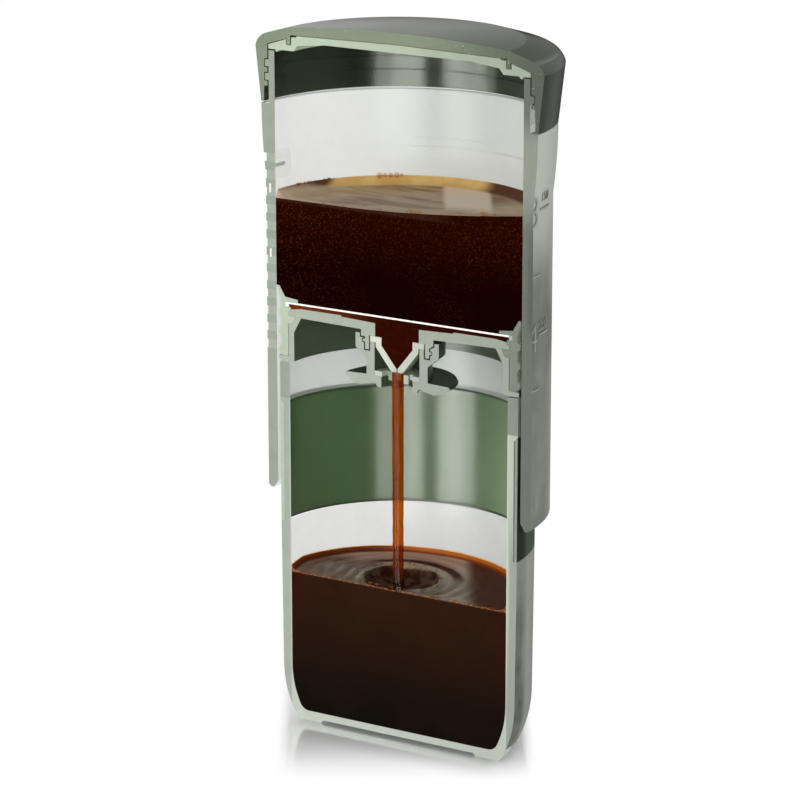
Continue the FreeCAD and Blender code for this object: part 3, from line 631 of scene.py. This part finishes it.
gloss = skin.node("BsdfPrincipled", {}, {
    "Base Color": colour,
    "Roughness": 0.1 + band * 0.3 + swirl * 0.06,
    "IOR": 1.4,
    "Normal": skin.bumps(swirl + froth * band * 0.3, 0.0001),
})
crema = skin.two_coats(0.32 + swirl * 0.2, matt, gloss)
skin = Finish("brew_cut_face")
cloud = skin.noise(0.014, 3.0)
froth = skin.noise(0.00033, 3.0)
height = skin.z.rise(0.104, 0.1205)
left = skin.x.fall(-0.030, -0.006)
lively = (height * 0.75 + left * 0.6 + cloud.rise(0.45, 0.7) * 0.4) * froth.rise(0.54, 0.7)
body = (height * 0.8).colour(tint(19, 2, 0), tint(34, 7, 2))
lip = skin.z.rise(0.1193, 0.1199) * skin.x.fall(0.006, 0.016)
skim = (lip * 0.5).colour(body, tint(60, 38, 30))
brew_cut = skin.coat({
    "Base Color": (lively * 0.8).colour(skim, tint(88, 36, 15)),
    "Roughness": 0.6 + froth * 0.2,
    "Specular IOR Level": 0.0,
    "Normal": skin.bumps(froth, 0.00008),
})
brew = piece(shape, "brewing_coffee", [crema, brew_cut])
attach(brew, "piston")
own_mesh(brew)


# Bubbles. Thin blown skins of coffee: a cluster against the back of the bore, a few on the cut
# edge and along the bore's left side, and fine beads along the cup's cut edge and round its crater.
random.seed(5)


def bubble(shape, x, depth, z, radius):
    bmesh.ops.create_icosphere(shape, subdivisions=2, radius=radius,
                               matrix=Matrix.Translation((x, CUT_Y + depth, z)))


def on_bore(angle_deg, radius):
    """Where a bubble of this radius touches the bore, as x and depth behind the cut face."""
    angle = math.radians(angle_deg)
    return (BREW_R - radius) * math.cos(angle), (BREW_R - radius) * math.sin(angle)


def blown(name, colour, rim_from):
    """Thin bubble film: nearly clear where it is faced, and coloured where it is seen edge-on."""
    skin = Finish(name)
    edge_on = skin.node("LayerWeight", {}, {"Blend": 0.4}, "Facing").rise(rim_from, 0.95)
    clear = skin.node("BsdfTransparent", {}, {"Color": tint(244, 230, 210)})
    film = skin.node("BsdfPrincipled", {}, {"Base Color": colour, "Roughness": 0.06, "IOR": 1.4})
    return skin.two_coats(edge_on * 0.8 + 0.05, clear, film)


CLUSTER = (
    (128.5, 0.0007), (126.1, 0.0005), (123.8, 0.00055), (121.3, 0.00065), (119.2, 0.0004),
)
ON_CUT_EDGE = (
    (0.0038, 7, 0.0006), (0.0222, 8, 0.00065), (-0.0187, 2, 0.0003),
    (-0.0135, 2, 0.00025), (-0.0045, 2, 0.00025), (0.0112, 2, 0.00025),
)
BUBBLE_STEP = 0.0005
LEFT_BEADS = 16
EDGE_BEADS = 60
CRATER_BEADS = 40
pale_film = blown("pale_bubble", tint(255, 244, 228), 0.6)
amber_film = blown("amber_bubble", tint(226, 140, 84), 0.2)
shape = bmesh.new()
for angle_deg, radius in CLUSTER:
    x, depth = on_bore(angle_deg, radius)
    bubble(shape, x, depth, BREW_LEVEL + MENISCUS + 0.0001, radius)
for i in range(LEFT_BEADS):
    radius = random.uniform(0.0002, 0.0004)
    x, depth = on_bore(random.uniform(148, 168), radius)
    bubble(shape, x, depth, BREW_LEVEL + MENISCUS * behind_cut(x, depth), radius)
for x, count, widest in ON_CUT_EDGE:
    for i in range(count):
        radius = widest * random.uniform(0.4, 1.0)
        across = x + (i - (count - 1) / 2) * BUBBLE_STEP
        bubble(shape, across, radius + 0.0001, BREW_LEVEL + slope(across, CUT_Y) + 0.0001, radius)
bubbles = piece(shape, "bubbles_in_tube", [pale_film])
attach(bubbles, "piston")
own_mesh(bubbles)
shape = bmesh.new()
for i in range(EDGE_BEADS):
    x = random.uniform(-0.0272, 0.0268)
    radius = random.uniform(0.00008, 0.00022)
    bubble(shape, x, random.uniform(0.0, 0.0005), CUP_LEVEL + radius * 0.6, radius)
for i in range(CRATER_BEADS):
    around = random.uniform(0, math.tau)
    far = random.uniform(1.0, 1.25)
    spot = CRATER_MIDDLE + VIEW_RIGHT * math.cos(around) * far * CRATER_WIDE
    spot += VIEW_BACK * math.sin(around) * far * CRATER_LONG
    radius = random.uniform(0.0001, 0.00028)
    bubble(shape, spot.x, max(0.0004, spot.y - CUT_Y), CUP_LEVEL + 0.0005, radius)
beads = piece(shape, "bubbles_in_cup", [amber_film])
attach(beads, "cup")


# Coffee under the filter. It runs in a thin layer over the piston's plate to the middle, and
# fills the hub down to the valve.
PLATE_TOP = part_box("piston")[1].z
SCREEN_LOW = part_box("filter_screen")[0].z
VALVE_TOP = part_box("valve")[1].z
SCREEN_R = 0.02768
RIM_SEAT = [(SCREEN_R, 0.09598), (0.02722, 0.09598), (0.02722, 0.09551)]
PLATE_R = 0.0246
DISH_R = 0.01424
HUB_R = 0.0055
under_path = [(0.0, SCREEN_LOW - 0.00001), (SCREEN_R, SCREEN_LOW - 0.00001)] + RIM_SEAT
under_path += [(PLATE_R, PLATE_TOP + 0.00002), (DISH_R, PLATE_TOP + 0.00002)]
under_path += [(DISH_R - 0.00006, 0.09557), (HUB_R, 0.09527)]
under_path += [(HUB_R, VALVE_TOP + 0.00006), (0.0, VALVE_TOP + 0.00006)]
shape = half_turned(under_path, 64)
close_cut(shape)
skin = Finish("running_coffee")
streaks = skin.noise(0.0012, 3.0)
running = skin.x.rise(-0.026, -0.002).colour(tint(112, 48, 22), tint(42, 10, 4))
darkened = skin.z.fall(0.0925, 0.0955).colour(running, tint(46, 10, 4))
running_coffee = skin.coat({
    "Base Color": (streaks.rise(0.4, 0.7) * 0.3).colour(darkened, tint(66, 22, 10)),
    "Roughness": 0.5 + streaks * 0.2,
    "Specular IOR Level": 0.0,
    "Normal": skin.bumps(streaks, 0.00005),
})
under = piece(shape, "coffee_under_filter", [running_coffee])
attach(under, "piston")


# Coffee in the valve. It fills the duckbill from its round mouth down to its narrow slit, and
# goes down with it when the holder is unscrewed.
THROAT_R = 0.0039
THROAT_LOW = 0.09043
SLIT_TOP = 0.0858
SLIT_HALF_W = 0.0001
SLIT_HALF_L = 0.0018
shape = bmesh.new()
mouth = shape.verts.new((THROAT_R, CUT_Y, SLIT_TOP))
bmesh.ops.spin(shape, geom=[mouth], cent=(0, CUT_Y, 0), axis=(0, 0, 1), angle=math.pi, steps=24)
levels = [list(shape.verts)]
edges = list(shape.edges)
for height in (THROAT_LOW, VALVE_TOP + 0.00005):
    grown = bmesh.ops.extrude_edge_only(shape, edges=edges)["geom"]
    edges = [item for item in grown if isinstance(item, bmesh.types.BMEdge)]
    levels.append([item for item in grown if isinstance(item, bmesh.types.BMVert)])
    for vert in levels[-1]:
        vert.co.z = height
for vert in levels[0]:
    vert.co.x *= SLIT_HALF_W / THROAT_R
    vert.co.y = CUT_Y + (vert.co.y - CUT_Y) * SLIT_HALF_L / THROAT_R
for level in (levels[0], levels[-1]):
    bmesh.ops.contextual_create(shape, geom=level)
close_cut(shape)
valve_coffee = piece(shape, "coffee_in_valve", [running_coffee])
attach(valve_coffee, "valve")


# Stream. Coffee falls from the valve's slit into the cup as one clear amber thread that narrows on
# its way. Its first stretch hangs on the valve, and the rest is left unattached below it.
STREAM_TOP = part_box("valve")[0].z - 0.00002
STREAM_FOOT = CUP_LEVEL - 0.0002
JET_H = 0.0031
STREAM_BACK = 0.00045
STREAM_TOP_R = 0.0013
STREAM_FOOT_R = 0.00117
FOOT_BACK = 0.0007


def thread(low, high, rings):
    """A round thread of coffee between two heights, with faint swellings as it nears the cup."""
    shape = bmesh.new()
    bmesh.ops.create_circle(shape, cap_ends=False, radius=1.0, segments=28,
                            matrix=Matrix.Translation((0, 0, low)))
    grown = list(shape.edges)
    for i in range(1, rings + 1):
        geom = bmesh.ops.extrude_edge_only(shape, edges=grown)["geom"]
        grown = [item for item in geom if isinstance(item, bmesh.types.BMEdge)]
        for vert in [item for item in geom if isinstance(item, bmesh.types.BMVert)]:
            vert.co.z = low + (high - low) * i / rings
    for vert in shape.verts:
        share = (vert.co.z - STREAM_FOOT) / (STREAM_TOP - STREAM_FOOT)
        fall = (1 - share) ** 2
        radius = STREAM_FOOT_R + (STREAM_TOP_R - STREAM_FOOT_R) * share
        radius *= 1 + 0.05 * fall * math.sin(vert.co.z * 1700) + 0.02 * math.sin(vert.co.z * 700)
        foot = math.exp(-(vert.co.z - STREAM_FOOT) / 0.0007)
        back = STREAM_BACK + FOOT_BACK * math.exp(-(vert.co.z - STREAM_FOOT) / 0.0025)
        vert.co.x *= radius * (1 + 0.35 * foot)
        vert.co.y = CUT_Y + back + vert.co.y * radius
    bmesh.ops.holes_fill(shape, edges=[edge for edge in shape.edges if edge.is_boundary], sides=0)
    return shape


skin = Finish("falling_coffee")
strand = skin.node("Mapping", {}, {"Vector": skin.place, "Scale": (1.0, 1.0, 0.05)})
threads = skin.node("TexNoise", {}, {"Vector": strand, "Scale": 1 / 0.0009, "Detail": 2.0})
edge_on = skin.node("LayerWeight", {}, {"Blend": 0.5}, "Facing")
thin = skin.node("BsdfTransparent", {}, {"Color": tint(228, 166, 34)})
# Painted light: the stream's colour follows the light behind it, bright amber high up, redder lower
# down and nearly black just above the coffee.
high_amber = threads.rise(0.35, 0.65).colour(tint(84, 22, 2), tint(160, 66, 4))
reddish = threads.rise(0.35, 0.65).colour(tint(56, 12, 0), tint(118, 44, 4))
low_amber = skin.z.rise(0.0365, 0.040).colour(tint(30, 8, 2), reddish)
amber = skin.node("BsdfPrincipled", {}, {
    "Base Color": skin.z.rise(0.0445, 0.0465).colour(low_amber, high_amber),
    "Roughness": 0.12,
    "Specular IOR Level": 0.2,
    "Normal": skin.bumps(threads, 0.00008),
})
falling = skin.two_coats(edge_on.rise(0.25, 0.95) * 0.5 + 0.3, thin, amber)
stream = piece(thread(STREAM_FOOT, STREAM_TOP - JET_H, 60), "stream", [falling])
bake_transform(stream)
jet = piece(thread(STREAM_TOP - JET_H, STREAM_TOP, 6), "stream_jet", [falling])
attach(jet, "valve")


# Fill mark. A dash in a rounded frame on the bore, beside its left cut edge. Both are moulded
# with the tube, and the frame is only just raised.
MARK_Z = 0.1276
MARK_HALF_H = 0.00315
MARK_HALF_W = 0.0054
MARK_RAISED = 0.00008
DASH_LONG = 0.0034
DASH_HALF_H = 0.00036
DASH_RAISED = 0.00022
BORE_R = 0.031


def bore_plate(half_w, half_h, middle_z, raised, corner):
    """A thin plate on the bore that starts at the left cut face, with its free corners rounded."""
    shape = bmesh.new()
    bmesh.ops.create_grid(shape, x_segments=1, y_segments=1, size=0.5)
    bmesh.ops.scale(shape, vec=(half_w, 2 * half_h, 1), verts=shape.verts)
    bmesh.ops.translate(shape, vec=(half_w / 2, 0, 0), verts=shape.verts)
    free = [vert for vert in shape.verts if vert.co.x > half_w / 2]
    bmesh.ops.bevel(shape, geom=free, offset=corner, segments=6, profile=0.5,
                    affect="VERTICES", material=-1)
    solid = bmesh.ops.extrude_face_region(shape, geom=list(shape.faces))["geom"]
    top = [item for item in solid if isinstance(item, bmesh.types.BMVert)]
    bmesh.ops.translate(shape, vec=(0, 0, raised), verts=top)
    for vert in shape.verts:
        angle = math.pi - vert.co.x / BORE_R
        r = BORE_R - vert.co.z + (0.0 if vert.co.z > 0 else 0.0001)
        vert.co = (r * math.cos(angle), CUT_Y + r * math.sin(angle), middle_z + vert.co.y)
    return shape


mark_clear = moulded("mark_plastic", tint(250, 251, 249), tint(176, 185, 171), 0.3, {"Alpha": 0.1})
dash_pale = moulded("dash_plastic", tint(192, 200, 188), tint(160, 170, 156), 0.4)
plate = bore_plate(MARK_HALF_W, MARK_HALF_H, MARK_Z, MARK_RAISED, 0.0012)
frame_mark = piece(plate, "fill_mark_frame", [mark_clear])
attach(frame_mark, "tube")
plate = bore_plate(DASH_LONG, DASH_HALF_H, MARK_Z - 0.0002, DASH_RAISED, 0.0002)
dash = piece(plate, "fill_mark_dash", [dash_pale])
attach(dash, "tube")


# Scale on the tube's outside: raised numbers and ticks that start where the tube is cut. The two
# big numbers stand upright beside the cut face, each with a long tick and its small number.
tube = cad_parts["brew_tube"]
TUBE_OUTER_R = 0.0345
RAISED = 0.00022
NEAR_CUT = 0.005
BESIDE = 0.155
TICK_HALF_H = 0.00022


def on_tube(angle, z, out):
    """The point this far out from the tube's outside, at an angle and a height."""
    way = Vector((math.cos(angle), math.sin(angle), 0))
    middle = Vector((0, CUT_Y, z))
    hit, place, _, _ = tube.ray_cast(middle + way * 0.05, -way)
    if not hit:
        place = middle + way * (TUBE_OUTER_R - 0.0001)
    return place + way * out


def raised_on_tube(shape, start_angle, middle_z):
    """Wrap a flat outline, x along the skin and y up it, round the tube as a raised mark."""
    cut_x = 0.00003 - start_angle * TUBE_OUTER_R
    bmesh.ops.bisect_plane(shape, geom=list(shape.verts) + list(shape.edges) + list(shape.faces),
                           plane_co=(cut_x, 0, 0), plane_no=(-1, 0, 0), clear_outer=True)
    solid = bmesh.ops.extrude_face_region(shape, geom=list(shape.faces))["geom"]
    top = set(item for item in solid if isinstance(item, bmesh.types.BMVert))
    # Side faces get the second, darker material: painted shade.
    for face in shape.faces:
        face.material_index = int(0 < sum(vert in top for vert in face.verts) < len(face.verts))
    for vert in shape.verts:
        angle = start_angle + vert.co.x / TUBE_OUTER_R
        vert.co = on_tube(angle, middle_z + vert.co.y, RAISED if vert in top else -0.0001)
    return shape


def number(text, height):
    """The flat outline of a number, as faces, centred on its own place."""
    words = bpy.data.curves.new("number", "FONT")
    words.body = text
    words.size = height / 0.72
    words.align_x = "CENTER"
    words.align_y = "CENTER"
    words.resolution_u = 4
    words.offset = -height * 0.024
    made = bpy.data.objects.new("number", words)
    shape = bmesh.new()
    mesh = bpy.data.meshes.new_from_object(made)
    shape.from_mesh(mesh)
    bpy.data.objects.remove(made)
    bpy.data.curves.remove(words)
    bpy.data.meshes.remove(mesh)
    bmesh.ops.remove_doubles(shape, verts=shape.verts, dist=1e-6)
    return shape


def bar(half_w, half_h, x=0.0):
    shape = bmesh.new()
    bmesh.ops.create_grid(shape, x_segments=6, y_segments=1, size=0.5)
    bmesh.ops.scale(shape, vec=(2 * half_w, 2 * half_h, 1), verts=shape.verts)
    bmesh.ops.translate(shape, vec=(x, 0, 0), verts=shape.verts)
    return shape


# The marks' sides take a darker copy of the same plastic: painted shade.
scale_top = moulded("scale_top", tint(168, 174, 163), tint(150, 158, 146), 0.35)
shaded_scale_side = moulded("shaded_scale_side", tint(86, 92, 82), tint(110, 116, 104), 0.5)
marks = [
    ("number_3", number("3", 0.0071), NEAR_CUT, 0.1240),
    ("number_4", number("4", 0.0068), NEAR_CUT, 0.0966),
    ("number_150", number("150", 0.0021), BESIDE, 0.1270),
    ("number_200", number("200", 0.0021), BESIDE, 0.0992),
]
for height in (0.1245, 0.0973):
    name = f"long_tick_{round(height * 1000)}"
    marks.append((name, bar(0.0027, TICK_HALF_H), 0.17, height))
for height in (0.1104, 0.0854):
    name = f"short_tick_{round(height * 1000)}"
    marks.append((name, bar(0.0015, TICK_HALF_H, 0.0015), 0.001, height))
for name, outline, angle, height in marks:
    mark = piece(raised_on_tube(outline, angle, height), name, [scale_top, shaded_scale_side])
    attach(mark, "tube")


# White bars. Two slots in the tube's left wall are filled with white plastic, and where the tube
# is cut they show as short bars among the ribs of its grip.
BAR_R = 0.03238
BAR_HALF_W = 0.0002
BAR_THICK = 0.00012
white_fill = moulded("white_fill", tint(236, 238, 232), tint(240, 242, 236), 0.5)
for low, high in ((0.1212, 0.12325), (0.1067, 0.1087)):
    shape = bmesh.new()
    bmesh.ops.create_cube(shape, size=1.0)
    bmesh.ops.scale(shape, vec=(2 * BAR_HALF_W, BAR_THICK, high - low), verts=shape.verts)
    through = [e for e in shape.edges if abs(e.verts[0].co.y - e.verts[1].co.y) > 1e-6]
    bmesh.ops.bevel(shape, geom=through, offset=0.00012, segments=3, profile=0.5,
                    affect="EDGES", material=-1)
    bmesh.ops.translate(shape, vec=(-BAR_R, CUT_Y, (low + high) / 2), verts=shape.verts)
    slot_bar = piece(shape, f"white_bar_{round(low * 1000)}", [white_fill])
    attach(slot_bar, "tube")


# Floor. A plain white sheet with a soft sheen close to the press. Further out it is lost in the
# white behind it.
FLOOR_HALF = 1.6
FOOT_R = 0.0235
shape = bmesh.new()
bmesh.ops.create_grid(shape, x_segments=8, y_segments=8, size=FLOOR_HALF)
skin = Finish("white_floor")
beside = (skin.x.math("ABSOLUTE") - FOOT_R).math("MAXIMUM", 0.0)
in_front = (skin.depth * -1.0).math("MAXIMUM", 0.0)
front = (beside * beside + in_front * in_front).math("SQRT")
round_back = (skin.r - FOOT_R).math("MAXIMUM", 0.0)
behind = skin.depth > 0.0
away = behind * round_back + (1 - behind) * front
across = (skin.x * VIEW_RIGHT.x + skin.depth * VIEW_RIGHT.y - 0.0018).math("ABSOLUTE")
toward = skin.depth * -VIEW_BACK.y - skin.x * VIEW_BACK.x
lengthwise = toward.stretch(-0.060, -0.030, -0.004, 0.026)
sheen = lengthwise * across.fall(0.0255, 0.029) * 0.6
# Painted contact shadow: the matt floor turns grey close round the foot.
contact_shadow = away.rise(-0.002, 0.007).colour(tint(140, 144, 138), tint(252, 252, 252))
matt = skin.node("BsdfDiffuse", {}, {
    "Color": contact_shadow, "Normal": skin.bumps(skin.noise(0.003), 0.00002)})
mirror = skin.node("BsdfGlossy", {}, {"Color": (0.95, 0.95, 0.95, 1.0), "Roughness": 0.14})
white = skin.node("Emission", {}, {"Color": (1.0, 1.0, 1.0, 1.0), "Strength": 1.0})
seen = skin.node("LightPath", {}, {}, "Is Camera Ray")
bleached = away.rise(-0.004, 0.014).math("MAXIMUM", across.rise(0.0248, 0.0272))
faded = skin.node("MixShader", {}, {0: seen * bleached, 1: matt, 2: white})
white_floor = skin.two_coats(sheen, faded, mirror)
floor = piece(shape, "floor", [white_floor])
floor.visible_glossy = False
floor.visible_shadow = False


# Light. Two wide soft lamps low in front reach into the bores, and one above lights the lid and
# the back. The tall windows and curtains between them only show as upright streaks in the shiny
# inner walls.
AIM = Vector((0.0, CUT_Y, 0.085))


def lamp(name, compass_deg, up_deg, far, wide, tall, level, mirrored_only=False):
    """A soft lamp that faces the press and gives a face square to it this share of its colour."""
    data = bpy.data.lights.new(name, "AREA")
    data.shape = "RECTANGLE"
    data.size = wide
    data.size_y = tall
    data.energy = level * math.pi ** 2 * far ** 2
    made = bpy.data.objects.new(name, data)
    compass, up = math.radians(compass_deg), math.radians(up_deg)
    way = Vector((math.cos(compass) * math.cos(up), math.sin(compass) * math.cos(up), math.sin(up)))
    made.location = AIM + way * far
    made.rotation_euler = way.to_track_quat("Z", "Y").to_euler()
    made.visible_camera = False
    if mirrored_only:
        made.visible_diffuse = False
        made.visible_transmission = False
    else:
        made.visible_glossy = False
    bpy.context.scene.collection.objects.link(made)
    return made


lamp("front_right_lamp", -62.0, 13.0, 1.0, 0.7, 0.6, 0.42)
lamp("front_left_lamp", -125.0, 16.0, 0.6, 0.5, 0.5, 0.27)
lamp("back_lamp", 125.0, 45.0, 1.0, 0.8, 0.8, 0.25)
WINDOW_UP_DEG = -15.8
WINDOW_FAR = 0.5
WINDOW_TALL = 0.5
for name, compass_deg, wide, level in (
        ("near_window", -68.0, 0.23, 1.5), ("near_curtain", -48.0, 0.12, 0.5),
        ("far_window", -106.0, 0.17, 1.1), ("far_curtain", -123.5, 0.14, 0.65),
        ("side_window", 78.4, 0.14, 0.06)):
    lamp(name, compass_deg, WINDOW_UP_DEG, WINDOW_FAR, wide, WINDOW_TALL, level, True)

world = bpy.data.worlds.new("studio")
world.use_nodes = True
world.node_tree.nodes.clear()
air = Shade(world.node_tree)
seen = air.node("LightPath", {}, {}, "Is Camera Ray")
through = seen.math("MAXIMUM", seen.out("Is Transmission Ray"))
mirrored = seen.out("Is Glossy Ray")
way = air.node("SeparateXYZ", {}, {"Vector": air.node("TexCoord", {}, {}, "Generated")}, "X")
leftward = way.out("X").fall(-0.62, -0.40)
upward = way.out("Z").rise(-0.05, 0.08)
rightward = way.out("X").rise(-0.34, -0.05)
mirror_level = upward * (leftward * 0.74 + rightward * 0.5 + 0.20) + 0.02
plain = through * 0.55 + 0.45
strength = plain * (1 - mirrored) + mirrored * mirror_level
sky = air.node("Background", {}, {"Color": (1.0, 1.0, 1.0, 1.0), "Strength": strength})
air.node("OutputWorld", {}, {"Surface": sky})
bpy.context.scene.world = world


# Camera. It stands where the photograph was taken from: its place and angle were fitted to the
# round edges and straight walls that the picture shows.
CAMERA_PLACE = (0.403685, -0.682641, 0.298908)
CAMERA_RIGHT = (0.855238, 0.518235, -0.000457)
CAMERA_UP = (-0.140791, 0.233195, 0.962184)
CAMERA_BACK = (0.498745, -0.822832, 0.272400)
LENS_MM = 167.2
FILM_MM = 36.0
view = bpy.data.cameras.new("camera")
view.lens = LENS_MM
view.sensor_width = FILM_MM
camera = bpy.data.objects.new("camera", view)
turn = Matrix((CAMERA_RIGHT, CAMERA_UP, CAMERA_BACK)).transposed()
camera.matrix_world = Matrix.Translation(CAMERA_PLACE) @ turn.to_4x4()
bpy.context.scene.collection.objects.link(camera)
bpy.context.scene.camera = camera
bpy.context.scene.view_settings.view_transform = "Standard"
